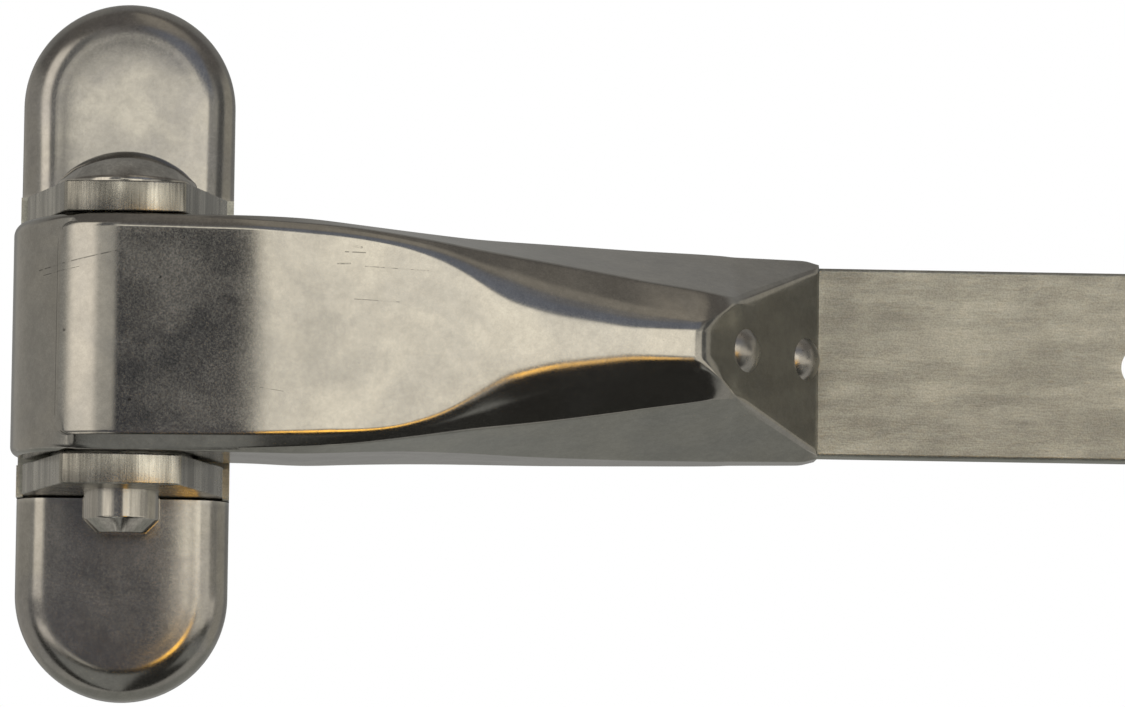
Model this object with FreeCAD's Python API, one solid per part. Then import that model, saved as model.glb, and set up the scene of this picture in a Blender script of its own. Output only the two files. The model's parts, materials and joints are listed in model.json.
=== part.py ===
import FreeCAD, Part
import os
from math import cos, radians, sin, tan

# Strap hinge with a bracket, a headed pin and a pressed arm.
# X runs along the arm, Y runs into the wall, Z runs up along the pin.
# The origin is the centre of the bracket's back face. Millimetres.

# Driving dimensions
PIN_TO_WALL = 28.0
PIN_R = 8.0
RUNNING_GAP = 0.05
PLATE_T = 3.0
BRACKET_HALF_W = 22.3
BRACKET_HALF_H = 73.8
COVER_DEPTH = 13.0
COVER_T = 1.2
COVER_ROLL_R = 7.5
LUG_T = 6.3
LUG_INNER_Z = 24.9
LUG_HALF_W = 20.9
LUG_FRONT = 21.8
HEAD_R = 14.6
HEAD_RIM = 1.6
HEAD_DOME = 6.8
PIN_END_Z = 40.0
KNUCKLE_R = 23.2
KNUCKLE_HALF_H = 24.4
TUBE_HALF_H = 23.7
PANEL_RAISE = 1.0
SHELL_T = 2.0
TUBE_R = 15.0
BUSH_R = 10.0
BLADE_W = 40.0
BLADE_T = 8.0
BLADE_END_X = 326.0
SHELL_END_X = 146.0
FACET_ANGLE = 51.7
RIVET_SHANK_R = 2.4
RIVET_HEAD_R = 4.5
BOLT_HOLE_R = 4.5
BRACKET_BOLT_X = 11.0
BRACKET_BOLT_Z = 56.0
BLADE_HOLE_X = 215.0
BLADE_HOLE_PITCH = 45.0
BLADE_HOLES = 3

PIN_Y = -PIN_TO_WALL
FAR = 400.0
OPEN_BACK = 40.0
UP = FreeCAD.Vector(0, 0, 1)
BACK = FreeCAD.Vector(0, 1, 0)


def vec(x, y, z):
    """A point whose Y is counted from the pin axis."""
    return FreeCAD.Vector(x, y + PIN_Y, z)


def save(name, shape):
    shape.exportStep("parts/%s.step" % name)


def box(x0, x1, y0, y1, z0, z1):
    """A block between two corners, Y counted from the pin axis."""
    return Part.makeBox(x1 - x0, y1 - y0, z1 - z0, vec(x0, y0, z0))


def post(radius, z0, z1):
    """A cylinder on the pin axis."""
    return Part.makeCylinder(radius, z1 - z0, vec(0, 0, z0), UP)


def ring(inner, outer, z0, z1):
    return post(outer, z0, z1).cut(post(inner, z0, z1))


def mirror_z(shape):
    return shape.mirror(FreeCAD.Vector(0, 0, 0), UP)


def group(shapes):
    """Separate solids that share one node."""
    return Part.makeCompound(shapes)


def prism(points, z0, z1):
    """An outline in the XY plane, Y counted from the pin axis, raised from z0 to z1."""
    corners = [vec(x, y, z0) for x, y in points]
    face = Part.Face(Part.makePolygon(corners + corners[:1]))
    return face.extrude(FreeCAD.Vector(0, 0, z1 - z0))


def stadium(half_w, half_h, y0, y1):
    """A tall slab with half-round ends, Y counted from the pin axis."""
    centre_z = half_h - half_w
    slab = box(-half_w, half_w, y0, y1, -centre_z, centre_z)
    ends = [Part.makeCylinder(half_w, y1 - y0, vec(0, y0, z), BACK) for z in (centre_z, -centre_z)]
    return slab.multiFuse(ends).removeSplitter()


def wall_hole(x, z):
    return Part.makeCylinder(BOLT_HOLE_R, FAR, FreeCAD.Vector(x, -FAR / 2, z), BACK)


# Bracket

PLATE_FRONT = PIN_TO_WALL - PLATE_T
COVER_INNER_W = BRACKET_HALF_W - COVER_T
COVER_INNER_H = BRACKET_HALF_H - COVER_T
LUG_OUTER_Z = LUG_INNER_Z + LUG_T
COVER_START_Z = LUG_OUTER_Z + 0.5
EAR_TOP_Z = LUG_OUTER_Z + 0.3
EAR_BOTTOM_Z = KNUCKLE_HALF_H + 0.5
EAR_FRONT = 16.0
FIT_GAP = 0.1


def make_base_plate():
    """Flat plate under both covers, with four ears that brace the sides of the lugs."""
    plate = stadium(COVER_INNER_W - FIT_GAP, COVER_INNER_H - FIT_GAP, PLATE_FRONT, PIN_TO_WALL)
    waist = box(-BRACKET_HALF_W, BRACKET_HALF_W, PLATE_FRONT, PIN_TO_WALL, -EAR_TOP_Z, EAR_TOP_Z)
    ears = []
    for side in (-1, 1):
        inner, outer = sorted((side * LUG_HALF_W, side * BRACKET_HALF_W))
        ear = box(inner, outer, EAR_FRONT, PLATE_FRONT, EAR_BOTTOM_Z, EAR_TOP_Z)
        ears += [ear, mirror_z(ear)]
    plate = plate.multiFuse([waist] + ears).removeSplitter()
    for x in (-BRACKET_BOLT_X, BRACKET_BOLT_X):
        for z in (-BRACKET_BOLT_Z, BRACKET_BOLT_Z):
            plate = plate.cut(wall_hole(x, z))
    return plate


def make_lug(bore_r):
    """Upper lug: a thick plate with a gently curved front edge and tapered sides."""
    nose_x, nose_y = 12.5, -20.0
    shoulder_y = 12.0
    front = Part.Arc(vec(-nose_x, nose_y, LUG_INNER_Z), vec(0, -LUG_FRONT, LUG_INNER_Z),
                     vec(nose_x, nose_y, LUG_INNER_Z)).toShape()
    corners = [(nose_x, nose_y), (LUG_HALF_W, shoulder_y), (LUG_HALF_W, PLATE_FRONT),
               (-LUG_HALF_W, PLATE_FRONT), (-LUG_HALF_W, shoulder_y), (-nose_x, nose_y)]
    edges = [front]
    for start, end in zip(corners[:-1], corners[1:]):
        edges.append(Part.makeLine(vec(start[0], start[1], LUG_INNER_Z), vec(end[0], end[1], LUG_INNER_Z)))
    outline = Part.Wire(Part.__sortEdges__(edges))
    plate = Part.Face(outline).extrude(FreeCAD.Vector(0, 0, LUG_T))
    long_edges = [e for e in plate.Edges if is_front_rim(e)]
    plate = plate.makeFillet(0.4, long_edges)
    return plate.cut(post(bore_r, LUG_INNER_Z - 1, LUG_OUTER_Z + 1))


def is_front_rim(edge):
    """True for the curved and tapered rims of a lug, which lie level and ahead of its shoulders."""
    box_of_edge = edge.BoundBox
    return box_of_edge.ZLength < 0.01 and box_of_edge.YMin < PIN_Y and box_of_edge.YLength < 40


def make_lug_welds():
    """Fillet bead between the upper lug's outer face and the plate, under the cover."""
    leg = 3.0
    half_length = 17.0
    corners = [FreeCAD.Vector(-half_length, PIN_Y + PLATE_FRONT, LUG_OUTER_Z),
               FreeCAD.Vector(-half_length, PIN_Y + PLATE_FRONT - leg, LUG_OUTER_Z),
               FreeCAD.Vector(-half_length, PIN_Y + PLATE_FRONT, LUG_OUTER_Z + leg)]
    face = Part.Face(Part.makePolygon(corners + corners[:1]))
    return face.extrude(FreeCAD.Vector(2 * half_length, 0, 0))


def cover_blank(half_w, half_h, roll_r, y_front):
    """A capped stadium whose front rim is rolled over."""
    blank = stadium(half_w, half_h, y_front, PIN_TO_WALL)
    rim = [e for e in blank.Edges if abs(e.BoundBox.YMax - (y_front + PIN_Y)) < 0.01]
    return blank.makeFillet(roll_r, rim)


def make_cover():
    """Upper cover: a drawn cap, cut square above the lug and open at the back."""
    y_front = PIN_TO_WALL - COVER_DEPTH
    outside = cover_blank(BRACKET_HALF_W, BRACKET_HALF_H, COVER_ROLL_R, y_front)
    inside = cover_blank(COVER_INNER_W, COVER_INNER_H, COVER_ROLL_R - COVER_T, y_front + COVER_T)
    shell = outside.cut(inside)
    keep = box(-50, 50, 0, 50, COVER_START_Z, BRACKET_HALF_H + 1)
    return shell.common(keep)


def make_cover_clip():
    """Spring strip across the plate, with a leg against each side wall of the upper cover."""
    strip_t = 0.6
    bottom_z, top_z = 38.0, 45.0
    outer_x = COVER_INNER_W - 0.05
    leg_front = PIN_TO_WALL - COVER_DEPTH + COVER_ROLL_R
    floor = box(-outer_x, outer_x, PLATE_FRONT - strip_t, PLATE_FRONT, bottom_z, top_z)
    legs = [box(-outer_x, -outer_x + strip_t, leg_front, PLATE_FRONT, bottom_z, top_z),
            box(outer_x - strip_t, outer_x, leg_front, PLATE_FRONT, bottom_z, top_z)]
    return floor.multiFuse(legs).removeSplitter()


def make_pin():
    """Straight pin with a low domed head above the upper lug and a chamfered lower end."""
    chamfer = 2.9
    rim_z = LUG_OUTER_Z + HEAD_RIM
    dome_r = (HEAD_R ** 2 + HEAD_DOME ** 2) / (2 * HEAD_DOME)
    shank = post(PIN_R, -PIN_END_Z + chamfer, LUG_OUTER_Z)
    tip = Part.makeCone(PIN_R - chamfer, PIN_R, chamfer, vec(0, 0, -PIN_END_Z), UP)
    rim = post(HEAD_R, LUG_OUTER_Z, rim_z)
    ball = Part.makeSphere(dome_r, vec(0, 0, rim_z + HEAD_DOME - dome_r))
    dome = ball.common(post(HEAD_R, rim_z, rim_z + HEAD_DOME + 1))
    return shank.multiFuse([tip, rim, dome]).removeSplitter()


# Arm: knuckle, pressed shell and blade

SKIRT_HALF_H = 22.4
BLADE_FRONT = PIN_TO_WALL - BLADE_T
BLADE_HALF_W = BLADE_W / 2
FACET_END_Y = BLADE_FRONT - SHELL_T - 0.2
PANEL_R = KNUCKLE_R + PANEL_RAISE
PANEL_START_X = -14.5
PANEL_HALF_H = KNUCKLE_HALF_H - 1.0
NOSE_X = 121.0
FACET_TOP_X = 126.5

# Cross-sections of the arm, from the knuckle to the nose of its raised rib:
# x, crest y, crest half-height, rib foot half-height, rib foot y,
# fold half-height, fold y, back edge y.
STATIONS = [
    (0.0, -PANEL_R, 22.3, 23.4, -23.3, 24.4, -22.8, 3.0),
    (25.0, -PANEL_R, 21.5, 23.3, -22.8, 24.3, -21.5, 7.0),
    (38.0, -24.1, 19.0, 22.8, -21.5, 23.8, -18.5, 13.0),
    (54.0, -23.6, 14.5, 21.0, -19.5, 22.9, -12.5, 20.0),
    (71.0, -22.4, 9.8, 18.3, -17.0, SKIRT_HALF_H, -3.0, 27.0),
    (88.0, -20.4, 6.8, 16.2, -14.0, SKIRT_HALF_H, 5.3, 27.5),
    (104.0, -18.2, 4.8, 14.2, -11.0, SKIRT_HALF_H, 11.3, 27.5),
    (NOSE_X, -15.8, 3.2, 11.0, -8.5, SKIRT_HALF_H, 15.6, 27.5),
]


def facet_y(x):
    """Front surface of the sloping end facet."""
    return FACET_END_Y - (SHELL_END_X - x) * tan(radians(FACET_ANGLE))


def outer_sections():
    sections = list(STATIONS)
    top_y = facet_y(FACET_TOP_X)
    sections.append((FACET_TOP_X, top_y, 7.8, 9.6, top_y + 3.5, SKIRT_HALF_H, 16.6, 27.5))
    sections.append((SHELL_END_X, FACET_END_Y, 19.3, 20.6, 18.2, SKIRT_HALF_H, 19.0, 27.5))
    return sections


def inner_sections():
    """The hollow of the shell, one sheet thickness inside the outer sections."""
    sections = []
    for x, crest_y, crest_z, foot_z, foot_y, fold_z, fold_y, back_y in STATIONS:
        inner_x = x - 1.6 if x == NOSE_X else x
        sections.append((inner_x, crest_y + SHELL_T, crest_z * 0.9, foot_z - SHELL_T, foot_y + SHELL_T,
                         fold_z - SHELL_T, fold_y + SHELL_T * 1.4, OPEN_BACK))
    slope = tan(radians(FACET_ANGLE))
    meet_x = SHELL_END_X - 0.8
    top_x = FACET_TOP_X - 1.2
    top_y = BLADE_FRONT - (meet_x - top_x) * slope
    sections.append((top_x, top_y, 6.2, 7.6, top_y + 3.5, SKIRT_HALF_H - SHELL_T, 18.4, OPEN_BACK))
    for x in (meet_x, SHELL_END_X + 1):
        sections.append((x, BLADE_FRONT, 18.0, 19.0, BLADE_FRONT, SKIRT_HALF_H - SHELL_T, BLADE_FRONT, OPEN_BACK))
    return sections


def section_wire(section):
    x, crest_y, crest_z, foot_z, foot_y, fold_z, fold_y, back_y = section
    half = [(crest_z, crest_y), (foot_z, foot_y), (fold_z, fold_y), (fold_z, back_y)]
    upper = [vec(x, y, z) for z, y in half]
    lower = [vec(x, y, -z) for z, y in reversed(half)]
    points = upper + lower
    return Part.makePolygon(points + points[:1])


def make_arm_shell():
    """Pressed arm: round knuckle, raised rib that narrows to a nose, and a sloping end facet."""
    knuckle = post(KNUCKLE_R, -KNUCKLE_HALF_H, KNUCKLE_HALF_H)
    panel = post(PANEL_R, -PANEL_HALF_H, PANEL_HALF_H)
    panel = panel.common(box(PANEL_START_X, 0, -PANEL_R - 1, 0, -PANEL_HALF_H, PANEL_HALF_H))
    outside = Part.makeLoft([section_wire(s) for s in outer_sections()], True, True)
    body = outside.multiFuse([knuckle, panel])
    flange_z = KNUCKLE_HALF_H - SHELL_T
    wall_back = 8.0
    hollow = Part.makeLoft([section_wire(s) for s in inner_sections()], True, True)
    drum = post(KNUCKLE_R - SHELL_T, -flange_z, flange_z)
    back_gap = box(-KNUCKLE_R - 1, KNUCKLE_R, wall_back, OPEN_BACK, -flange_z, flange_z)
    body = body.cut(drum).cut(hollow).cut(back_gap)
    body = body.cut(post(TUBE_R, -KNUCKLE_HALF_H - 1, KNUCKLE_HALF_H + 1))
    for x, y in rivet_places():
        body = body.cut(facet_cylinder(x, y, RIVET_SHANK_R, -20, 5))
    return body.removeSplitter()


def make_knuckle_tube():
    return ring(BUSH_R, TUBE_R, -TUBE_HALF_H, TUBE_HALF_H)


def make_knuckle_weld():
    """Ring bead between the tube and the inside of the shell's upper flange."""
    leg = 2.0
    top_z = KNUCKLE_HALF_H - SHELL_T
    bead = Part.makeCone(TUBE_R, TUBE_R + leg, leg, vec(0, 0, top_z - leg), UP)
    return bead.cut(post(TUBE_R, top_z - leg - 1, top_z + 1))


BUSH_FLANGE = 0.6
WASHER_GAP = 0.02


def make_bush():
    """Upper flanged bush, pressed into the tube and running on the pin."""
    length = 18.0
    top_z = TUBE_HALF_H + BUSH_FLANGE
    sleeve = post(BUSH_R, TUBE_HALF_H - length, TUBE_HALF_H)
    flange = post(TUBE_R - 0.5, TUBE_HALF_H, top_z)
    return sleeve.fuse(flange).cut(post(PIN_R + RUNNING_GAP, 0, top_z + 1)).removeSplitter()


def make_thrust_washer():
    bottom_z = TUBE_HALF_H + BUSH_FLANGE + WASHER_GAP
    return ring(PIN_R + RUNNING_GAP, TUBE_R - 0.5, bottom_z, LUG_INNER_Z - 0.08)


def facet_direction():
    """Outward normal of the end facet."""
    angle = radians(FACET_ANGLE)
    return FreeCAD.Vector(sin(angle), -cos(angle), 0)


def facet_cylinder(x, y, radius, start, end):
    """A cylinder square to the facet, from start to end along its outward normal."""
    normal = facet_direction()
    base = vec(x, y, 0) + normal * start
    return Part.makeCylinder(radius, end - start, base, normal)


def rivet_places():
    """Middles of the two rivets, on the facet's front surface."""
    return [(x, facet_y(x)) for x in (129.4, 143.2)]


def make_rivet(x, y):
    """Domed head on the facet, shank through shell and blade, flat formed tail behind."""
    head_h = 2.2
    grip = SHELL_T + BLADE_T
    tail_h = 1.4
    washer_t = 1.0
    dome_r = (RIVET_HEAD_R ** 2 + head_h ** 2) / (2 * head_h)
    centre = vec(x, y, 0) + facet_direction() * (head_h - dome_r)
    dome = Part.makeSphere(dome_r, centre).common(facet_cylinder(x, y, RIVET_HEAD_R, 0, head_h + 1))
    bottom = -grip - washer_t - 0.1
    shank = facet_cylinder(x, y, RIVET_SHANK_R, bottom, 0)
    tail = facet_cylinder(x, y, RIVET_SHANK_R + 1.4, bottom - tail_h, bottom)
    return dome.multiFuse([shank, tail]).removeSplitter()


def make_rivet_washer(x, y):
    back = -SHELL_T - BLADE_T - 0.05
    disc = facet_cylinder(x, y, RIVET_SHANK_R + 2.4, back - 1.0, back)
    return disc.cut(facet_cylinder(x, y, RIVET_SHANK_R, back - 2, back + 1))


def make_blade():
    """Flat bar with a bent, tapered tongue that lies behind the end facet."""
    slope = tan(radians(FACET_ANGLE))
    back_shift = BLADE_T / sin(radians(FACET_ANGLE))
    bend_x = SHELL_END_X - 0.8 - 0.06
    tongue_x = FACET_TOP_X + 0.6
    tongue_y = BLADE_FRONT - (bend_x - tongue_x) * slope
    normal = facet_direction()
    back_x = tongue_x - normal.x * BLADE_T
    back_y = tongue_y - normal.y * BLADE_T
    back_bend_x = bend_x - back_shift + BLADE_T / slope
    outline = [(tongue_x, tongue_y), (bend_x, BLADE_FRONT), (BLADE_END_X, BLADE_FRONT),
               (BLADE_END_X, PIN_TO_WALL), (back_bend_x, PIN_TO_WALL), (back_x, back_y)]
    bar = prism(outline, -BLADE_HALF_W, BLADE_HALF_W)
    taper_end, taper_wide = 5.6, 17.6
    plan = [(back_x - 1, taper_end), (tongue_x, taper_end), (bend_x - 0.6, taper_wide),
            (SHELL_END_X - 0.4, BLADE_HALF_W), (BLADE_END_X + 1, BLADE_HALF_W)]
    points = [FreeCAD.Vector(x, -FAR / 2, z) for x, z in plan]
    points += [FreeCAD.Vector(x, -FAR / 2, -z) for x, z in reversed(plan)]
    window = Part.Face(Part.makePolygon(points + points[:1])).extrude(FreeCAD.Vector(0, FAR, 0))
    bar = bar.common(window)
    corners = [e for e in bar.Edges if e.BoundBox.XMin > BLADE_END_X - 0.01 and e.BoundBox.YLength > 1]
    bar = bar.makeFillet(6.0, corners)
    for index in range(BLADE_HOLES):
        bar = bar.cut(wall_hole(BLADE_HOLE_X + index * BLADE_HOLE_PITCH, 0))
    for x, y in rivet_places():
        bar = bar.cut(facet_cylinder(x, y, RIVET_SHANK_R, -20, 5))
    return bar


os.makedirs("parts", exist_ok=True)

save("base_plate", make_base_plate())
upper_lug = make_lug(PIN_R)
lower_lug = mirror_z(make_lug(PIN_R))
save("upper_lug", upper_lug)
save("lower_lug", lower_lug)
save("upper_lug_weld", make_lug_welds())
save("lower_lug_weld", mirror_z(make_lug_welds()))
save("upper_cover", make_cover())
save("lower_cover", mirror_z(make_cover()))
save("upper_cover_clip", make_cover_clip())
save("lower_cover_clip", mirror_z(make_cover_clip()))
save("hinge_pin", make_pin())
save("arm_shell", make_arm_shell())
save("knuckle_tube", make_knuckle_tube())
save("knuckle_welds", group([make_knuckle_weld(), mirror_z(make_knuckle_weld())]))
save("upper_bush", make_bush())
save("lower_bush", mirror_z(make_bush()))
save("upper_thrust_washer", make_thrust_washer())
save("lower_thrust_washer", mirror_z(make_thrust_washer()))
save("hinge_blade", make_blade())
for rivet_name, place in zip(("inner_rivet", "outer_rivet"), rivet_places()):
    save(rivet_name, make_rivet(*place))
    save(rivet_name + "_washer", make_rivet_washer(*place))
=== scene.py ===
import json
from math import asin, atan2, cos, degrees, pi, radians, sin, tan

import bmesh
import bpy
import numpy as np
from mathutils import Matrix, Vector


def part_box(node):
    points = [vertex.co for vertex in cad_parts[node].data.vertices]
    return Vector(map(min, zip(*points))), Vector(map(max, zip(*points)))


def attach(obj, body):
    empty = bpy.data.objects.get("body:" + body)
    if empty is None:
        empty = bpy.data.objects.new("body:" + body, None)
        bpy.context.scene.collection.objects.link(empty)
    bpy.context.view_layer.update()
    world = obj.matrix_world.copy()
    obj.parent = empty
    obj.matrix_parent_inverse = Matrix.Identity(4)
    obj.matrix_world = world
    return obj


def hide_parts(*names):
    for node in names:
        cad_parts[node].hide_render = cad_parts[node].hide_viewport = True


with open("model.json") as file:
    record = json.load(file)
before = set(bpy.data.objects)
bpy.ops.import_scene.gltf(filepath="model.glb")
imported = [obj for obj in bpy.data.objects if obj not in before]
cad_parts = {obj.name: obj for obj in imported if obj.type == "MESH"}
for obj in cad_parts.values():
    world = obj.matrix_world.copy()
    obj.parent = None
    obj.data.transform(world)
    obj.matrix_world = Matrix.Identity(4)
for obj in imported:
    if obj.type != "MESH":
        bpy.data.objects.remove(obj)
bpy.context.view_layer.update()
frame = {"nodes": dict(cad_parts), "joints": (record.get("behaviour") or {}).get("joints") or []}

# Looks of a strap hinge: pressed steel arm, capped bracket, turned pin and drilled flat blade.
# Shape code works in millimetres with Y counted from the pin axis, and MM turns them into the
# frame's metres.

MM = 0.001
scene = bpy.context.scene
nodes = frame["nodes"]
PIN = Vector(frame["joints"][0]["pos_m"]) / MM


def box_mm(node):
    """A CAD node's lowest and highest corners in millimetres, Y counted from the pin axis."""
    low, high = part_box(node)
    shift = Vector((0, PIN.y, 0))
    return low / MM - shift, high / MM - shift


shell_low, shell_high = box_mm("arm_shell")
tube_high = box_mm("knuckle_tube")[1]
lug_low, lug_high = box_mm("upper_lug")
cover_low, cover_high = box_mm("upper_cover")
pin_low, pin_high = box_mm("hinge_pin")
blade_high = box_mm("hinge_blade")[1]


# Meshes

def make_object(name, points, faces, material, smooth_angle=40):
    """A mesh object from points in millimetres (Y from the pin axis) and faces."""
    mesh = bpy.data.meshes.new(name)
    placed = (np.asarray(points, float) + np.array([0, PIN.y, 0])) * MM
    mesh.from_pydata([tuple(p) for p in placed], [], [tuple(f) for f in faces])
    mesh.validate()
    tidy = bmesh.new()
    tidy.from_mesh(mesh)
    bmesh.ops.remove_doubles(tidy, verts=tidy.verts, dist=1e-6)
    bmesh.ops.recalc_face_normals(tidy, faces=tidy.faces)
    tidy.to_mesh(mesh)
    tidy.free()
    mesh.shade_smooth()
    mesh.set_sharp_from_angle(angle=radians(smooth_angle))
    obj = bpy.data.objects.new(name, mesh)
    scene.collection.objects.link(obj)
    obj.data.materials.append(material)
    return obj


def grid_faces(rows, columns, start=0, close_rows=False, flip=False):
    """Quads of a grid whose points are numbered row by row from start."""
    faces = []
    for i in range(rows if close_rows else rows - 1):
        j = (i + 1) % rows
        for k in range(columns - 1):
            quad = (start + i * columns + k, start + j * columns + k,
                    start + j * columns + k + 1, start + i * columns + k + 1)
            faces.append(quad[::-1] if flip else quad)
    return faces


def sheet_solid(outer, inner, seam=False):
    """Points and faces of a closed sheet between two matching grids.

    With a seam the last column runs along the sheet's middle and gets no rim.
    """
    rows, columns = outer.shape[:2]
    count = rows * columns
    points = np.concatenate([outer.reshape(-1, 3), inner.reshape(-1, 3)])
    faces = grid_faces(rows, columns) + grid_faces(rows, columns, count, flip=True)
    rim = [i * columns for i in range(rows)]
    rim += [(rows - 1) * columns + k for k in range(1, columns)]
    rim += [i * columns + columns - 1 for i in range(rows - 2, -1, -1)]
    rim += list(range(columns - 2, 0, -1))
    for a, b in zip(rim, rim[1:] + rim[:1]):
        on_seam = a % columns == columns - 1 and b % columns == columns - 1
        if not (seam and on_seam):
            faces.append((b, a, a + count, b + count))
    return points, faces


def collar(outline, bore_r, z_low, z_high, edge_r):
    """A plate around the pin axis: a closed plan outline, a round bore and rounded rims."""
    outline = np.asarray(outline, float)
    ahead = np.roll(outline, -1, axis=0) - np.roll(outline, 1, axis=0)
    ahead /= np.linalg.norm(ahead, axis=1, keepdims=True)
    outward = np.stack([ahead[:, 1], -ahead[:, 0]], axis=1)
    if (outward * outline).sum() < 0:
        outward = -outward
    inner = outline / np.linalg.norm(outline, axis=1, keepdims=True) * bore_r
    turns = [radians(a) for a in (0, 22.5, 45, 67.5, 90)]
    rims = [(outline - outward * edge_r * (1 - sin(t)), edge_r * (1 - cos(t))) for t in turns]
    columns = [(inner, z_low)]
    columns += [(plan, z_low + rise) for plan, rise in rims]
    columns += [(plan, z_high - rise) for plan, rise in rims[::-1]]
    columns += [(inner, z_high), (inner, z_low)]
    grid = np.stack([np.column_stack([plan, np.full(len(plan), z)]) for plan, z in columns], axis=1)
    rows, count = grid.shape[:2]
    return grid.reshape(-1, 3), grid_faces(rows, count, close_rows=True)


def arc_points(centre, radius, start, end, count):
    """Points on an arc in plan, angles in degrees, both ends included."""
    turns = [radians(lerp(start, end, i / count)) for i in range(count + 1)]
    return [(centre[0] + radius * cos(t), centre[1] + radius * sin(t)) for t in turns]


def lathe(profile, segments=128):
    """Points and faces of a turned piece about the pin axis, from (radius, z) points."""
    turns = [2 * pi * i / segments for i in range(segments)]
    points = [(r * cos(a), r * sin(a), z) for a in turns for r, z in profile]
    return points, grid_faces(segments, len(profile), close_rows=True)


def lerp(a, b, t):
    return a + (b - a) * t


def smooth_step(t):
    t = np.clip(t, 0.0, 1.0)
    return t * t * (3 - 2 * t)


# Materials

def new_material(name):
    material = bpy.data.materials.new(name)
    material.use_nodes = True
    material.node_tree.nodes.clear()
    return material, material.node_tree


def link(tree, source, target):
    tree.links.new(source, target)


def stretched_noise(tree, scale, detail=4.0, roughness=0.6, distortion=0.0):
    """Noise in the object's own space; scale is features per metre along X, Y and Z."""
    coordinates = tree.nodes.new("ShaderNodeTexCoord")
    stretch = tree.nodes.new("ShaderNodeMapping")
    stretch.inputs["Scale"].default_value = scale
    noise = tree.nodes.new("ShaderNodeTexNoise")
    noise.inputs["Scale"].default_value = 1.0
    noise.inputs["Detail"].default_value = detail
    noise.inputs["Roughness"].default_value = roughness
    noise.inputs["Distortion"].default_value = distortion
    link(tree, coordinates.outputs["Object"], stretch.inputs["Vector"])
    link(tree, stretch.outputs["Vector"], noise.inputs["Vector"])
    return noise.outputs["Fac"]


def remap(tree, value, low, high, out_low, out_high):
    """Smooth change from one level to another as a value rises from low to high."""
    node = tree.nodes.new("ShaderNodeMapRange")
    node.interpolation_type = "SMOOTHSTEP"
    node.inputs["From Min"].default_value = low
    node.inputs["From Max"].default_value = high
    node.inputs["To Min"].default_value = out_low
    node.inputs["To Max"].default_value = out_high
    link(tree, value, node.inputs["Value"])
    return node.outputs["Result"]


def maths(tree, operation, a, b):
    """One arithmetic step on two values, each a number or a socket."""
    node = tree.nodes.new("ShaderNodeMath")
    node.operation = operation
    for socket, value in zip(node.inputs, (a, b)):
        if isinstance(value, (int, float)):
            socket.default_value = value
        else:
            link(tree, value, socket)
    return node.outputs[0]


def mix_colour(tree, factor, a, b):
    """A colour between a and b, each a triple or a socket."""
    node = tree.nodes.new("ShaderNodeMix")
    node.data_type = "RGBA"
    for socket, value in zip((node.inputs["Factor"], node.inputs["A"], node.inputs["B"]), (factor, a, b)):
        if isinstance(value, (int, float)):
            socket.default_value = value
        elif isinstance(value, tuple):
            socket.default_value = (*value, 1.0)
        else:
            link(tree, value, socket)
    return node.outputs["Result"]


def scratch(tree, start, end, width):
    """One where the surface is clear, less on a fine line between two (x, z) points in millimetres."""
    coordinates = tree.nodes.new("ShaderNodeTexCoord")
    flat = tree.nodes.new("ShaderNodeVectorMath")
    flat.operation = "MULTIPLY"
    flat.inputs[1].default_value = (1, 0, 1)
    link(tree, coordinates.outputs["Object"], flat.inputs[0])
    first = Vector((start[0], 0, start[1])) * MM
    along_line = Vector((end[0], 0, end[1])) * MM - first
    length = along_line.length
    from_first = tree.nodes.new("ShaderNodeVectorMath")
    from_first.operation = "SUBTRACT"
    from_first.inputs[1].default_value = first
    link(tree, flat.outputs[0], from_first.inputs[0])
    share = tree.nodes.new("ShaderNodeVectorMath")
    share.operation = "DOT_PRODUCT"
    share.inputs[1].default_value = along_line / (length * length)
    link(tree, from_first.outputs[0], share.inputs[0])
    kept = maths(tree, "MINIMUM", maths(tree, "MAXIMUM", share.outputs["Value"], 0.0), 1.0)
    reached = tree.nodes.new("ShaderNodeVectorMath")
    reached.operation = "SCALE"
    reached.inputs[0].default_value = along_line
    link(tree, kept, reached.inputs["Scale"])
    gap = tree.nodes.new("ShaderNodeVectorMath")
    gap.operation = "DISTANCE"
    link(tree, from_first.outputs[0], gap.inputs[0])
    link(tree, reached.outputs[0], gap.inputs[1])
    broken = stretched_noise(tree, (700, 700, 700), detail=2)
    depth = remap(tree, broken, 0.42, 0.56, 0.95, 0.45)
    clear = remap(tree, gap.outputs["Value"], 0.4 * width * MM, width * MM, 0.0, 1.0)
    return maths(tree, "MAXIMUM", clear, depth)


# Handling marks on the pressed arm: first point, last point and width, in millimetres.
ARM_MARKS = [
    ((-17.4, 12.9), (-1.6, 16.4), 0.16),
    ((-16.5, 11.8), (-9.0, 13.2), 0.10),
    ((47.0, 18.3), (48.6, 18.1), 0.28),
    ((45.3, 17.1), (49.4, 17.0), 0.16),
    ((43.8, 14.6), (46.3, 14.7), 0.20),
    ((49.4, 14.2), (62.7, 13.6), 0.12),
    ((47.3, 7.4), (56.6, 7.0), 0.10),
    ((-12.0, 0.2), (-11.9, 0.5), 0.35),
    ((1.5, -14.2), (1.7, -14.1), 0.30),
    ((7.5, 11.0), (7.6, 11.2), 0.22),
    ((27.0, -11.0), (33.0, -11.9), 0.08),
]


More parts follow.
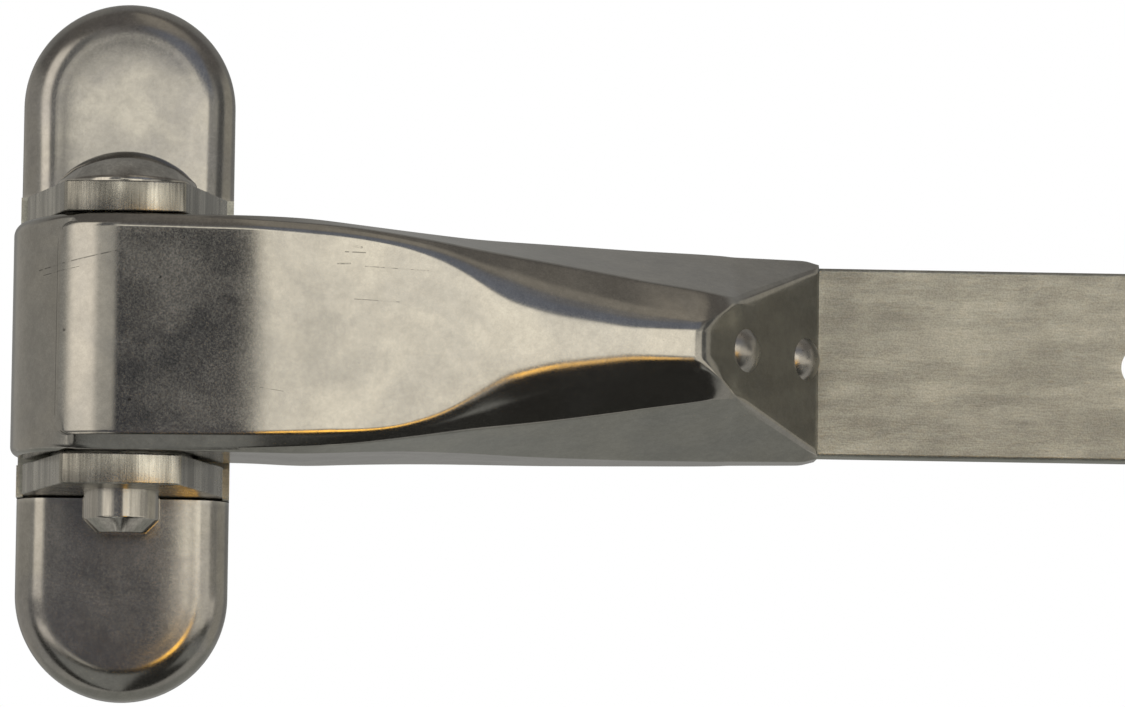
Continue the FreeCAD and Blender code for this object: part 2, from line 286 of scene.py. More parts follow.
def steel(name, colour, tint, roughness, grain, grain_depth, speckle=0.5, edge_highlight=0.35, streak=1.0, marks=()):
    """Stainless steel: clouded tone, fine speckle, directional grain, marks and a painted highlight on sharp
    edges.
    """
    material, tree = new_material(name)
    clouds = stretched_noise(tree, (55, 55, 55), detail=5, distortion=0.6)
    patches = stretched_noise(tree, (160, 160, 160), detail=4)
    dots = stretched_noise(tree, (2600, 2600, 2600), detail=2)
    lines = stretched_noise(tree, grain, detail=3, roughness=0.7)
    pits = stretched_noise(tree, (900, 900, 900), detail=3, roughness=0.8)

    tone = mix_colour(tree, remap(tree, clouds, 0.35, 0.68, 0.0, 1.0), colour, tint)
    mottle = remap(tree, patches, 0.3, 0.7, 0.94, 1.05)
    grit = remap(tree, dots, 0.3, 0.7, 1.0 - 0.10 * speckle, 1.0 + 0.08 * speckle)
    streaks = remap(tree, lines, 0.3, 0.7, 1 - 0.06 * streak, 1 + 0.05 * streak)
    shade = maths(tree, "MULTIPLY", maths(tree, "MULTIPLY", mottle, grit), streaks)
    if streak > 1:
        bands = stretched_noise(tree, tuple(g / 9 for g in grain), detail=3)
        banded = remap(tree, bands, 0.36, 0.64, 1 - 0.09 * streak, 1 + 0.07 * streak)
        shade = maths(tree, "MULTIPLY", shade, banded)
    for first, last, width in marks:
        shade = maths(tree, "MULTIPLY", shade, scratch(tree, first, last, width))
    specks = remap(tree, pits, 0.70, 0.76, 1.0, 1.0 - 0.35 * speckle)
    shade = maths(tree, "MULTIPLY", shade, specks)
    # Painted highlight: sharp convex edges get a lighter base colour, standing in for edges catching the
    # light.
    geometry = tree.nodes.new("ShaderNodeNewGeometry")
    edges = remap(tree, geometry.outputs["Pointiness"], 0.52, 0.60, 1.0, 1.0 + edge_highlight)
    shade = maths(tree, "MULTIPLY", shade, edges)
    scale = tree.nodes.new("ShaderNodeVectorMath")
    scale.operation = "SCALE"
    link(tree, tone, scale.inputs[0])
    link(tree, shade, scale.inputs["Scale"])

    rough = maths(tree, "ADD", remap(tree, clouds, 0.3, 0.7, roughness - 0.03, roughness + 0.04),
                  remap(tree, dots, 0.3, 0.7, -0.02, 0.03))

    bump = tree.nodes.new("ShaderNodeBump")
    bump.inputs["Strength"].default_value = 1.0
    bump.inputs["Distance"].default_value = grain_depth * MM
    height = maths(tree, "ADD", lines, maths(tree, "MULTIPLY", dots, 0.35))
    link(tree, height, bump.inputs["Height"])

    shader = tree.nodes.new("ShaderNodeBsdfPrincipled")
    shader.inputs["Metallic"].default_value = 1.0
    link(tree, scale.outputs["Vector"], shader.inputs["Base Color"])
    link(tree, rough, shader.inputs["Roughness"])
    link(tree, bump.outputs["Normal"], shader.inputs["Normal"])
    output = tree.nodes.new("ShaderNodeOutputMaterial")
    link(tree, shader.outputs["BSDF"], output.inputs["Surface"])
    return material


# Grain: features per metre along X, Y and Z.
EVEN_GRAIN = (700, 700, 700)
UP_GRAIN = (2200, 2200, 90)
LONG_GRAIN = (330, 2400, 2400)
TURNED_GRAIN = (1500, 1500, 60)
WELD_GRAIN = (500, 500, 500)

satin = steel("satin_steel", (0.355, 0.345, 0.32), (0.325, 0.32, 0.305), 0.145, EVEN_GRAIN, 0.004,
              marks=ARM_MARKS)
cover_steel = steel("cover_steel", (0.36, 0.35, 0.325), (0.325, 0.318, 0.31), 0.18, EVEN_GRAIN, 0.004)
ground = steel("ground_steel", (0.38, 0.37, 0.335), (0.33, 0.32, 0.29), 0.26, UP_GRAIN, 0.03, streak=3.5)
mill = steel("mill_steel", (0.375, 0.378, 0.345), (0.33, 0.332, 0.305), 0.40, LONG_GRAIN, 0.05,
             speckle=1.6, streak=1.4)
polished = steel("turned_steel", (0.42, 0.405, 0.375), (0.37, 0.36, 0.335), 0.13, TURNED_GRAIN, 0.002,
                 streak=2.0)
rivet_steel = steel("rivet_steel", (0.38, 0.365, 0.34), (0.32, 0.31, 0.29), 0.30, EVEN_GRAIN, 0.003)
plain = steel("plain_steel", (0.35, 0.34, 0.315), (0.30, 0.295, 0.28), 0.32, EVEN_GRAIN, 0.008)
weld = steel("weld_steel", (0.30, 0.28, 0.26), (0.22, 0.215, 0.21), 0.40, WELD_GRAIN, 0.10)


def nylon():
    """Natural nylon: off-white, slightly clouded and soft."""
    material, tree = new_material("natural_nylon")
    clouds = stretched_noise(tree, (300, 300, 300), detail=3)
    tone = mix_colour(tree, clouds, (0.80, 0.78, 0.70), (0.72, 0.70, 0.62))
    shader = tree.nodes.new("ShaderNodeBsdfPrincipled")
    shader.inputs["Subsurface Weight"].default_value = 0.1
    link(tree, tone, shader.inputs["Base Color"])
    link(tree, remap(tree, clouds, 0.3, 0.7, 0.42, 0.55), shader.inputs["Roughness"])
    output = tree.nodes.new("ShaderNodeOutputMaterial")
    link(tree, shader.outputs["BSDF"], output.inputs["Surface"])
    return material


bush_nylon = nylon()
finishes = {
    "base_plate": mill, "upper_lug": ground, "lower_lug": ground,
    "upper_lug_weld": weld, "lower_lug_weld": weld, "upper_cover": cover_steel, "lower_cover": cover_steel,
    "upper_cover_clip": plain, "lower_cover_clip": plain, "hinge_pin": polished,
    "arm_shell": satin, "knuckle_tube": plain, "knuckle_welds": weld,
    "upper_bush": bush_nylon, "lower_bush": bush_nylon,
    "upper_thrust_washer": plain, "lower_thrust_washer": plain,
    "hinge_blade": mill, "inner_rivet": rivet_steel, "inner_rivet_washer": plain,
    "outer_rivet": rivet_steel, "outer_rivet_washer": plain,
}
for node_name, finish in finishes.items():
    mesh_data = nodes[node_name].data
    mesh_data.materials.clear()
    mesh_data.materials.append(finish)


# Arm shell

SHEET = 2.0
BLADE_T = 8.0
BLADE_FRONT_Y = blade_high.y - BLADE_T
LEAST_REACH = 0.25
FACET_ANGLE = 51.7
FACET_END_Y = 17.8
KNUCKLE_R = -shell_low.x
KNUCKLE_TOP = shell_high.z
TUBE_R = tube_high.x
WALL_BACK = 8.0
PANEL_R = -shell_low.y
PANEL_START_X = -14.5
SKIRT_Z = 22.4
PIN_R = 8.0
END_X = shell_high.x


def facet_y(x):
    """The sloping end facet's front at x."""
    return FACET_END_Y - (END_X - x) * tan(radians(FACET_ANGLE))


# Lines pressed along the arm, from the pin to the shell's end: x, crest y, crest half-height,
# rib foot half-height, rib foot y, fold half-height, fold y, back edge y.
NOSE_X = 120.0
FACET_TOP_X = 126.0
PANEL_TOP_Z = 22.2
LOWER_INSET = 1.3
NOSE_SLANT = 2.4
EDGE_R = 22.7
FOOT_R = 23.3
FOOT_Z = 23.4
LINES = np.array([
    (0.0, -PANEL_R, PANEL_TOP_Z, FOOT_Z, -FOOT_R, KNUCKLE_TOP, -EDGE_R, 3.0),
    (27.0, -PANEL_R, 22.0, 23.4, -23.1, 24.4, -22.0, 8.0),
    (38.0, -23.4, 21.4, 23.0, -22.2, 24.3, -19.0, 14.0),
    (47.0, -22.8, 20.8, 22.4, -21.5, 23.6, -16.0, 17.5),
    (57.0, -22.0, 19.3, 21.1, -20.6, 22.9, -12.0, 22.5),
    (65.0, -21.3, 17.2, 19.9, -19.4, 22.6, -7.0, 25.0),
    (71.0, -20.8, 14.8, 18.9, -18.0, SKIRT_Z, -3.2, 27.0),
    (78.0, -20.2, 11.4, 17.9, -16.0, SKIRT_Z, 1.0, 27.3),
    (88.0, -19.3, 8.5, 16.5, -13.7, SKIRT_Z, 5.3, 27.5),
    (104.0, -17.6, 5.7, 14.0, -11.4, 22.2, 11.3, 27.5),
    (NOSE_X, -15.8, 3.9, 11.0, -10.5, 21.9, 15.3, 27.5),
    (124.0, facet_y(124.0), 8.6, 10.6, facet_y(124.0) + 2.4, 21.8, 16.2, 27.5),
    (FACET_TOP_X, facet_y(FACET_TOP_X), 9.3, 10.9, facet_y(FACET_TOP_X) + 2.2, 21.7, 16.5, 27.5),
    (END_X - 3.0, facet_y(END_X - 3.0), 17.6, 18.8, facet_y(END_X - 3.0) + 0.9, 21.4, 18.6, 27.5),
    (END_X, FACET_END_Y, 18.8, 19.8, 18.2, 20.6, 18.9, 27.5),
])

# Rounding along the arm: x, fold radius, rib foot radius, crest radius, crown, reach of the blend.
ROUNDING = np.array([
    (0.0, 1.0, 0.8, 3.0, 0.0, 0.0),
    (25.0, 1.4, 1.0, 3.2, 0.0, 6.0),
    (47.0, 2.0, 1.2, 6.0, 0.15, 7.0),
    (57.0, 2.4, 1.4, 10.0, 0.25, 5.0),
    (71.0, 2.8, 1.6, 16.0, 0.45, 4.0),
    (88.0, 2.8, 1.6, 13.0, 0.45, 5.0),
    (104.0, 2.8, 1.6, 10.0, 0.35, 5.0),
    (115.0, 2.6, 1.6, 6.0, 0.25, 3.0),
    (FACET_TOP_X, 2.4, 1.8, 2.6, 0.0, 2.6),
    (END_X - 4.0, 2.2, 1.4, 1.6, 0.0, 1.5),
    (END_X, 2.2, 1.0, 1.2, 0.0, 0.0),
])


def along(table, x, column):
    """A column of a table of lines along the arm, at x."""
    return np.interp(x, table[:, 0], table[:, column])


def blended(x, column):
    """A pressed line at x, averaged over the reach of the blend there, so that it has no kinks."""
    reach = along(ROUNDING, x, 5)
    total = 0.0
    weights = 0.0
    for share in np.linspace(-1, 1, 17):
        weight = 1 - share * share
        total = total + weight * along(LINES, x + share * reach, column)
        weights += weight
    return total / weights


def fillet(before, corner, after, radius, count, share_before=0.48, share_after=0.48):
    """Rounded corners for many rows at once: count + 1 points from one tangent point to the other."""
    back = before - corner
    ahead = after - corner
    back_len = np.linalg.norm(back, axis=1, keepdims=True)
    ahead_len = np.linalg.norm(ahead, axis=1, keepdims=True)
    back = back / back_len
    ahead = ahead / ahead_len
    cosine = np.clip(-(back * ahead).sum(1, keepdims=True), -1, 1)
    half_turn = np.arccos(cosine) / 2
    reach = np.asarray(radius).reshape(-1, 1) * np.tan(half_turn)
    reach = np.maximum(reach, LEAST_REACH)
    reach = np.minimum(reach, np.minimum(back_len * share_before, ahead_len * share_after))
    start = corner + back * reach
    end = corner + ahead * reach
    steps = [i / count for i in range(count + 1)]
    return [start * (1 - t) ** 2 + corner * 2 * t * (1 - t) + end * t * t for t in steps]


def run(start, end, count):
    """Points strictly between two rows of points."""
    return [lerp(start, end, i / count) for i in range(1, count)]


def half_profile(edge, fold, foot, crest, middle, radii, crown):
    """Columns of points from the inner edge of one side wall to the arm's middle line."""
    fold_radius, foot_radius, crest_radius = radii
    at_fold = fillet(edge, fold, foot, fold_radius, 8, 0.48, 0.6)
    at_foot = fillet(fold, foot, crest, foot_radius, 7, 0.38, 0.45)
    at_crest = fillet(foot, crest, middle, crest_radius, 12, 0.53, 0.6)
    columns = [edge] + run(edge, at_fold[0], 9) + at_fold
    columns += run(at_fold[-1], at_foot[0], 9) + at_foot
    columns += run(at_foot[-1], at_crest[0], 9) + at_crest
    columns += run(at_crest[-1], middle, 11) + [middle]
    grid = np.stack(columns, axis=1)
    height = np.abs(grid[:, :, 2] / np.abs(crest[:, 2:3]))
    grid[:, :, 1] -= crown[:, None] * np.clip(1 - height ** 2, 0, 1)
    return grid


# The side walls' inner edge follows the tube as far as this point, reached by the rows up to TUBE_END_X.
LEAVE_X = 14.07
LEAVE_Y = 5.2
TUBE_END_X = 24.0


def place(x, y, z):
    """Points from coordinates of which some may be single numbers."""
    return np.stack(np.broadcast_arrays(x, y, z), axis=-1).astype(float)


def arm_half(x, side):
    """The pressed arm ahead of the pin, on one side of its middle line."""
    crest_y, crest_z, foot_z, foot_y, fold_z, fold_y, back_y = [blended(x, c) for c in range(1, 8)]
    if side < 0:
        crest_z = crest_z - LOWER_INSET * (1 - smooth_step((x - 28) / 30))
    turn = radians(-90) + (atan2(LEAVE_Y, LEAVE_X) + radians(90)) * np.clip(x / TUBE_END_X, 0, 1)
    on_tube = x < TUBE_END_X
    edge_x = np.where(on_tube, TUBE_R * np.cos(turn), x)
    edge_y = np.where(on_tube, TUBE_R * np.sin(turn), back_y)
    blend = smooth_step((x - TUBE_END_X) / 10.0)
    edge_x = np.where(on_tube, edge_x, lerp(LEAVE_X + (x - TUBE_END_X) * 0.9, x, blend))
    edge_y = np.where(on_tube, edge_y, np.interp(edge_x, LINES[:, 0], LINES[:, 7]))
    rounding = [along(ROUNDING, x, c) for c in (1, 2, 3)]
    half = half_profile(place(edge_x, edge_y, side * fold_z), place(x, fold_y, side * fold_z),
                        place(x, foot_y, side * foot_z), place(x, crest_y, side * crest_z),
                        place(x, crest_y, 0.0), rounding, along(ROUNDING, x, 4))
    # Away from the middle line the nose's rim slants towards the blade.
    near_nose = smooth_step((half[:, :, 0] - 106) / 12) * (1 - smooth_step((half[:, :, 0] - 122) / 7))
    off_centre = smooth_step((np.abs(half[:, :, 2]) - 2.0) / 9)
    half[:, :, 0] += NOSE_SLANT * near_nose * off_centre
    return half


def knuckle_half(turn, side):
    """The round knuckle; turn is counted from the front towards the left."""
    def at(radius, z):
        return place(-radius * np.sin(turn), -radius * np.cos(turn), side * z)

    flat = np.zeros_like(turn)
    crest_z = PANEL_TOP_Z if side > 0 else PANEL_TOP_Z - LOWER_INSET
    panel = half_profile(at(TUBE_R, KNUCKLE_TOP), at(EDGE_R, KNUCKLE_TOP), at(FOOT_R, FOOT_Z),
                         at(PANEL_R, crest_z), at(PANEL_R, 0.0), (flat + 1.0, flat + 0.8, flat + 3.0), flat)
    height = np.abs(panel[:, :, 2])
    panel_r = np.hypot(panel[:, :, 0], panel[:, :, 1])
    # The bare wall's rim is rounder at the left than beside the panel.
    top_radius = (1.2 + (1.9 if side > 0 else 0.8) * smooth_step((turn - 0.45) / 0.7))[:, None]
    above = np.clip(height - (KNUCKLE_TOP - top_radius), 0, top_radius)
    bare_r = KNUCKLE_R - top_radius + np.sqrt(top_radius ** 2 - above ** 2)
    # Columns 0 to rim_end lie on the flat rim: they are stretched to the bare wall's smaller radius.
    rim_end = 9
    on_rim = slice(0, rim_end + 1)
    stretch = (KNUCKLE_R - top_radius - TUBE_R) / (panel_r[:, rim_end:rim_end + 1] - TUBE_R)
    bare_r[:, on_rim] = TUBE_R + (panel_r[:, on_rim] - TUBE_R) * stretch
    # Across the panel's left edge, with its rounded corner, the bare wall steps out to the panel.
    step_width = 1.5
    corner = 4.0
    start = asin(PANEL_START_X / -PANEL_R)
    near_top = np.clip(height - (crest_z + 0.4 - corner), 0, corner)
    rounded_off = corner - np.sqrt(corner ** 2 - near_top ** 2)
    inside = (start - turn[:, None]) * PANEL_R - rounded_off
    share = smooth_step(inside / step_width)
    radius = bare_r * (1 - share) + panel_r * share
    return place(-radius * np.sin(turn)[:, None], -radius * np.cos(turn)[:, None], panel[:, :, 2])


def arm_outside():
    """The arm's outer surface: rows from the knuckle's back round to the shell's end, closer at the nose."""
    back_turn = pi / 2 + asin(WALL_BACK / KNUCKLE_R)
    turn = np.linspace(back_turn, 0, 110)[:-1]
    x = np.concatenate([np.linspace(0, TUBE_END_X, 25)[:-1], np.linspace(TUBE_END_X, 112, 80)[:-1],
                        np.linspace(112, 132, 50)[:-1], np.linspace(132, END_X, 18)])
    halves = []
    for side in (1, -1):
        halves.append(np.concatenate([knuckle_half(turn, side), arm_half(x, side)]))
    upper, lower = halves
    return np.concatenate([upper, lower[:, -2::-1]], axis=1)


def grid_normals(grid):
    """A unit normal at each point of a grid."""
    along_rows = np.gradient(grid, axis=0)
    along_columns = np.gradient(grid, axis=1)
    normal = np.cross(along_rows, along_columns)
    return normal / np.maximum(np.linalg.norm(normal, axis=2, keepdims=True), 1e-9)


def softened(field, rounds):
    """Unit vectors averaged with their neighbours, several times over."""
    for _ in range(rounds):
        padded = np.pad(field, ((1, 1), (1, 1), (0, 0)), mode="edge")
        field = (padded[:-2, 1:-1] + padded[2:, 1:-1] + padded[1:-1, :-2] + padded[1:-1, 2:]) / 4
        field = field / np.maximum(np.linalg.norm(field, axis=2, keepdims=True), 1e-9)
    return field


def relaxed(grid, rounds):
    """Eases the creases between the nose and the shell's end, where the press tool was soft."""
    share = smooth_step((grid[:, :, 0] - 121) / 5) * (1 - smooth_step((grid[:, :, 0] - 139) / 5))
    share = share[1:-1, 1:-1, None]
    for _ in range(rounds):
        mean = (grid[:-2, 1:-1] + grid[2:, 1:-1] + grid[1:-1, :-2] + grid[1:-1, 2:]) / 4
        grid[1:-1, 1:-1] = lerp(grid[1:-1, 1:-1], mean, 0.8 * share)
    return grid


def make_arm_shell():
    """The pressed arm as one sheet, kept clear of the blade that it is riveted to."""
    outer = relaxed(arm_outside(), 7)
    normal = softened(grid_normals(outer), 4)
    if (normal[outer.shape[0] // 2, outer.shape[1] // 2] @ np.array([0, -1, 0])) < 0:
        normal = -normal
    inner = outer - normal * SHEET
    inner[-1, :, 0] = END_X
    seat = BLADE_FRONT_Y - 0.05
    ahead = (outer[:, :, 0] > 128) & (outer[:, :, 1] < seat - 0.5)
    inner[:, :, 1] = np.where(ahead, np.minimum(inner[:, :, 1], seat), inner[:, :, 1])
    beside = (outer[:, :, 0] > 122) & (outer[:, :, 1] > seat - 0.4)
    clear_z = np.sign(inner[:, :, 2]) * np.maximum(np.abs(inner[:, :, 2]), blade_high.z + 0.05)
    inner[:, :, 2] = np.where(beside, clear_z, inner[:, :, 2])
    points, faces = sheet_solid(outer, inner)
    shell = make_object("pressed_arm", points, faces, satin, 60)
    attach(shell, "arm")
    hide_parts("arm_shell")


make_arm_shell()


# Bracket covers

COVER_T = 1.2
COVER_ROLL = 7.5
COVER_CROWN = 0.40


def make_cover(name, node, side, tilt):
    """A drawn cap whose face leans back by the tilt, in degrees, towards the bracket's end."""
    half_w = cover_high.x
    top_z = cover_high.z
    open_z = cover_low.z
    front_y = cover_low.y
    back_y = cover_high.y
    centre_z = top_z - half_w
    turns = [radians(90 * i / 18) for i in range(19)]
    outside = [(0.0, lerp(back_y, front_y + COVER_ROLL, i / 4)) for i in range(4)]
    outside += [(COVER_ROLL * (1 - cos(t)), front_y + COVER_ROLL * (1 - sin(t))) for t in turns]
    inner_r = COVER_ROLL - COVER_T
    inside = [(COVER_T, lerp(back_y, front_y + COVER_ROLL, i / 4)) for i in range(4)]
    inside += [(COVER_ROLL - inner_r * cos(t), front_y + COVER_ROLL - inner_r * sin(t)) for t in turns]
    for i in range(1, 13):
        depth = lerp(COVER_ROLL, half_w, i / 12)
        crown = COVER_CROWN * (1 - ((half_w - depth) / (half_w - COVER_ROLL)) ** 4)
        outside.append((depth, front_y - crown))
        inside.append((depth, front_y + COVER_T - crown))
    straight = np.linspace(open_z, centre_z, 20)[:-1]
    spots = [(-1.0, 0.0, z) for z in straight]
    spots += [(-cos(radians(a)), sin(radians(a)), centre_z) for a in np.linspace(0, 180, 73)]
    spots += [(1.0, 0.0, z) for z in straight[::-1]]

    def grid(profile):
        rows = []
        for across, upward, base_z in spots:
            row = []
            for depth, y in profile:
                z = base_z + (half_w - depth) * upward
                lean = tan(radians(tilt)) * (z - open_z) * (back_y - y) / (back_y - front_y)
                row.append(((half_w - depth) * across, y + lean, side * z))
            rows.append(row)
        return np.array(rows)

    points, faces = sheet_solid(grid(outside), grid(inside), seam=True)
    cover = make_object(name, points, faces, cover_steel, 50)
    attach(cover, "bracket")
    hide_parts(node)


make_cover("upper_cap", "upper_cover", 1, 4.0)
make_cover("lower_cap", "lower_cover", -1, 1.6)


# Lugs

def make_lug(name, node, side):
    """A thick plate with a gently curved front edge and tapered sides, sheared and ground."""
    corner_x, corner_y = 12.3, -20.0
    shoulder_y = 12.0
    edge_r = 0.35
    front_y = lug_low.y
    side_x = lug_high.x
    sag = corner_y - front_y
    front_r = (corner_x ** 2 + sag ** 2) / (2 * sag)
    spread = degrees(asin(corner_x / front_r))
    outline = arc_points((0, front_y + front_r), front_r, -90 - spread, -90 + spread, 40)
    outline = outline[1:-1]
    outline += [(lerp(corner_x, side_x, t), lerp(corner_y, shoulder_y, t))
                for t in (0.006, 0.03, 0.5, 0.97, 0.995)]
    outline += [(side_x, lerp(shoulder_y, lug_high.y, t)) for t in (0.02, 0.5, 0.98)]
    outline += [(lerp(side_x, -side_x, t), lug_high.y) for t in np.linspace(0.01, 0.99, 30)]
    outline += [(-side_x, lerp(lug_high.y, shoulder_y, t)) for t in (0.02, 0.5, 0.98)]
    outline += [(-lerp(side_x, corner_x, t), lerp(shoulder_y, corner_y, t))
                for t in (0.005, 0.03, 0.5, 0.97, 0.994)]
    z_low, z_high = (lug_low.z, lug_high.z) if side > 0 else (-lug_high.z, -lug_low.z)
    points, faces = collar(outline, PIN_R, z_low, z_high, edge_r)
    lug = make_object(name, points, faces, ground, 50)
    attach(lug, "bracket")
    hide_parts(node)


make_lug("upper_lug_plate", "upper_lug", 1)
make_lug("lower_lug_plate", "lower_lug", -1)


# Pin

def rounded(points, radius, count=5):
    """A profile whose inner corners are rounded: points are (radius, z), the ends stay."""
    made = [points[0]]
    for before, corner, after in zip(points, points[1:], points[2:]):
        rows = [np.array([p], float) for p in (before, corner, after)]
        made += [tuple(p[0]) for p in fillet(*rows, radius, count)]
    return made + [points[-1]]


def make_pin():
    """Turned pin: low domed head, plain shank and chamfered lower end."""
    head_r = pin_high.x
    seat_z = lug_high.z
    seat_gap = 0.02
    rim_h = 1.6
    dome_h = pin_high.z - seat_z - rim_h
    chamfer = 2.9
    dome_r = (head_r ** 2 + dome_h ** 2) / (2 * dome_h)
    spread = asin(head_r / dome_r)
    tilts = [spread * i / 24 for i in range(23)]
    dome = [(dome_r * sin(tilt), pin_high.z - dome_r * (1 - cos(tilt))) for tilt in tilts]
    lip_h = 0.25
    rim = rounded([dome[-4], (head_r, seat_z + rim_h), (head_r, seat_z + lip_h)], 2.6, 12)
    rest = [(head_r, seat_z + lip_h), (head_r - 0.3, seat_z + seat_gap), (PIN_R, seat_z + seat_gap),
            (PIN_R, pin_low.z + chamfer), (PIN_R - chamfer, pin_low.z), (0.0, pin_low.z)]
    profile = dome[:-3] + rim[1:-1] + rounded(rest, 0.7)
    points, faces = lathe(profile, 144)
    pin = make_object("turned_pin", points, faces, polished, 50)
    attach(pin, "bracket")
    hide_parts("hinge_pin")


make_pin()


# Blade

def make_blade():
    """The drilled bar with its long edges and end rounded as rolled stock is."""
    source = nodes["hinge_blade"]
    shape = bmesh.new()
    shape.from_mesh(source.data)
    shape.transform(source.matrix_world)
    bmesh.ops.remove_doubles(shape, verts=shape.verts, dist=1e-6)
    bmesh.ops.dissolve_limit(shape, angle_limit=radians(1), verts=shape.verts, edges=shape.edges)
    edge_z = blade_high.z * MM - 1e-5
    end_x = (blade_high.x - 12) * MM
    long_edge = 20 * MM
    edge_r = 0.75 * MM
    rolled = []
    for edge in shape.edges:
        ends = [v.co for v in edge.verts]
        on_side = all(abs(co.z) > edge_z for co in ends) and (ends[0] - ends[1]).length > long_edge
        at_end = all(co.x > end_x for co in ends) and abs(ends[0].y - ends[1].y) < 1e-6
        if (on_side or at_end) and edge.calc_face_angle(0) > radians(60):
            rolled.append(edge)
    bmesh.ops.bevel(shape, geom=rolled, offset=edge_r, segments=3, profile=0.5, affect="EDGES")
    mesh = bpy.data.meshes.new("drilled_blade")
    shape.to_mesh(mesh)
    shape.free()
    mesh.shade_smooth()
    mesh.set_sharp_from_angle(angle=radians(50))
    blade = bpy.data.objects.new("drilled_blade", mesh)
    scene.collection.objects.link(blade)
    blade.data.materials.append(mill)
    evened = blade.modifiers.new("normals", "WEIGHTED_NORMAL")
    evened.keep_sharp = True
    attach(blade, "arm")
    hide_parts("hinge_blade")


make_blade()


# Stage: floor, world, reflection cards and camera

# In metres.
FLOOR_SIZE = 16
FLOOR_Z = -0.30
DOME_R = 6


def make_floor():
    """Plain pale floor, well below the object."""
    material, tree = new_material("floor_paint")
    shader = tree.nodes.new("ShaderNodeBsdfPrincipled")
    shade = stretched_noise(tree, (3, 3, 3), detail=3)
    link(tree, mix_colour(tree, shade, (0.80, 0.80, 0.79), (0.84, 0.84, 0.83)), shader.inputs["Base Color"])
    shader.inputs["Roughness"].default_value = 0.9
    output = tree.nodes.new("ShaderNodeOutputMaterial")
    link(tree, shader.outputs["BSDF"], output.inputs["Surface"])
    bpy.ops.mesh.primitive_plane_add(size=FLOOR_SIZE, location=(0, 0, FLOOR_Z))
    floor = bpy.context.active_object
    floor.name = "floor"
    floor.data.materials.append(material)
    floor.visible_glossy = False


def make_world():
    """Plain white room light."""
    world = bpy.data.worlds.new("studio")
    scene.world = world
    world.use_nodes = True
    world.node_tree.nodes["Background"].inputs["Color"].default_value = (1, 1, 1, 1)
    world.node_tree.nodes["Background"].inputs["Strength"].default_value = 1.0


# Cards that the metal reflects: azimuth from straight ahead of the object towards its right,
# elevation, how soft the card's edge is, all in degrees, then its colour.
CARDS = [
    ("ceiling", (-200, 200), (28, 95), 9, (0.21, 0.195, 0.18)),
    ("back_high", (110, 250), (20, 78), 10, (0.34, 0.33, 0.31)),
    ("back_high_left", (-250, -110), (20, 78), 10, (0.34, 0.33, 0.31)),
    ("back_low", (115, 245), (-90, -14), 10, (0.36, 0.36, 0.33)),
    ("back_low_left", (-245, -115), (-90, -14), 10, (0.36, 0.36, 0.33)),
    ("back_level", (125, 200), (-14, 28), 8, (0.30, 0.295, 0.28)),
    ("back_level_left", (-200, -150), (-14, 28), 8, (0.30, 0.295, 0.28)),
    ("left_wall", (-150, -70), (-30, 26), 8, (0.50, 0.475, 0.43)),
    ("lower_front", (-75, 75), (-95, -15), 4, (0.045, 0.044, 0.04)),
    ("left_panel", (-56, -27), (-22, 42), 6, (1.75, 1.62, 1.42)),
    ("left_middle", (-24, -8), (-22, 42), 3, (0.95, 0.90, 0.80)),
    ("left_gap", (-29, -10), (11, 42), 2.5, (0.22, 0.22, 0.22)),
    ("left_low", (-75, -18), (-14, -1), 3, (0.22, 0.215, 0.21)),
    ("right_brown", (8, 62), (46, 95), 8, (0.50, 0.455, 0.39)),
    ("right_blue", (5, 42), (20, 46), 5, (0.30, 0.32, 0.38)),
    ("right_panel", (5, 26), (-3, 19), 2.5, (1.95, 1.83, 1.58)),
    ("right_strip", (28, 58), (-18, 9), 3, (1.15, 1.08, 0.95)),
    ("right_dark", (57, 82), (-18, 30), 6, (0.16, 0.16, 0.155)),
    ("right_grey", (84, 124), (-25, 28), 6, (0.52, 0.49, 0.42)),
    ("right_low", (24, 80), (-14, 0), 3, (1.05, 0.98, 0.85)),
    ("floor_glow", (-50, 9), (-95, -30), 5, (0.36, 0.36, 0.34)),
    ("floor_glow_right", (38, 80), (-42, -24), 4, (0.34, 0.34, 0.32)),
    ("camera_side", (-8, 3.5), (-16, 12.5), 2.5, (0.055, 0.06, 0.07)),
    ("low_card", (-22, 6), (-16, 3), 3, (0.14, 0.14, 0.155)),
    ("upper_card", (-9, 9), (12.5, 19.5), 2, (1.95, 1.85, 1.62)),
    ("warm_lamp", (8.0, 18), (-17, -8.5), 1.5, (4.4, 2.4, 0.4)),
]
ROOM = (0.50, 0.485, 0.45)


def card_mask(tree, value, limits, soft):
    """One between two angles in degrees, fading to zero over the soft edges."""
    low, high = limits
    rise = remap(tree, value, radians(low - soft), radians(low + soft), 0.0, 1.0)
    fall = remap(tree, value, radians(high - soft), radians(high + soft), 1.0, 0.0)
    return maths(tree, "MULTIPLY", rise, fall)


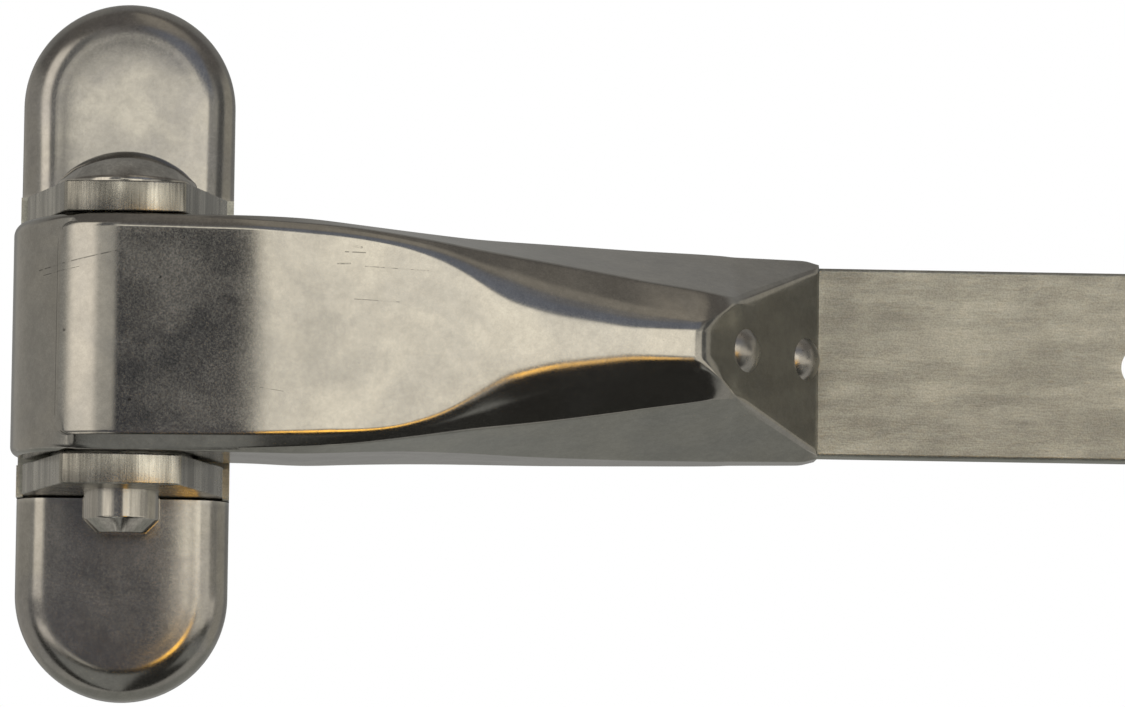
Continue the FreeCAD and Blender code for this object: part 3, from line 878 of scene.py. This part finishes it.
def make_reflections():
    """A large dome of soft cards, seen only in reflections; the floor and background stay plain."""
    material, tree = new_material("studio_cards")
    coordinates = tree.nodes.new("ShaderNodeTexCoord")
    aim = tree.nodes.new("ShaderNodeVectorMath")
    aim.operation = "NORMALIZE"
    link(tree, coordinates.outputs["Object"], aim.inputs[0])
    parts = tree.nodes.new("ShaderNodeSeparateXYZ")
    link(tree, aim.outputs["Vector"], parts.inputs["Vector"])
    ahead = maths(tree, "MULTIPLY", parts.outputs["Y"], -1.0)
    azimuth = maths(tree, "ARCTAN2", parts.outputs["X"], ahead)
    elevation = maths(tree, "ARCSINE", parts.outputs["Z"], 0.0)
    colour = ROOM
    for _, across, up_down, soft, tint in CARDS:
        mask = maths(tree, "MULTIPLY", card_mask(tree, azimuth, across, soft),
                     card_mask(tree, elevation, up_down, soft))
        colour = mix_colour(tree, mask, colour, tint)
    glow = tree.nodes.new("ShaderNodeEmission")
    link(tree, colour, glow.inputs["Color"])
    output = tree.nodes.new("ShaderNodeOutputMaterial")
    link(tree, glow.outputs["Emission"], output.inputs["Surface"])
    material.cycles.emission_sampling = "NONE"
    centre = (0, PIN.y * MM, 0)
    bpy.ops.mesh.primitive_uv_sphere_add(segments=64, ring_count=32, radius=DOME_R, location=centre)
    dome = bpy.context.active_object
    dome.name = "reflection_dome"
    dome.data.materials.append(material)
    dome.visible_camera = False
    dome.visible_diffuse = False
    dome.visible_shadow = False
    dome.visible_transmission = False


def make_camera():
    """Long lens a metre and a half in front, a little below and turned slightly right."""
    distance, side, height = 1500.0, 22.99, -141.9
    yaw, pitch, roll = 0.0454, 0.0936, 0.0128
    forward = Vector((sin(yaw) * cos(pitch), cos(yaw) * cos(pitch), sin(pitch)))
    level = Vector((cos(yaw), -sin(yaw), 0))
    upright = level.cross(forward)
    right = level * cos(roll) + upright * sin(roll)
    up = upright * cos(roll) - level * sin(roll)
    data = bpy.data.cameras.new("camera")
    data.sensor_width = 36
    data.sensor_fit = "HORIZONTAL"
    data.lens = 231.8016
    camera = bpy.data.objects.new("camera", data)
    scene.collection.objects.link(camera)
    turned = Matrix((right, up, -forward)).transposed().to_4x4()
    turned.translation = Vector((side, PIN.y - distance, height)) * MM
    camera.matrix_world = turned
    data.clip_end = 50
    scene.camera = camera


make_floor()
make_world()
make_reflections()
make_camera()
scene.view_settings.view_transform = "Standard"
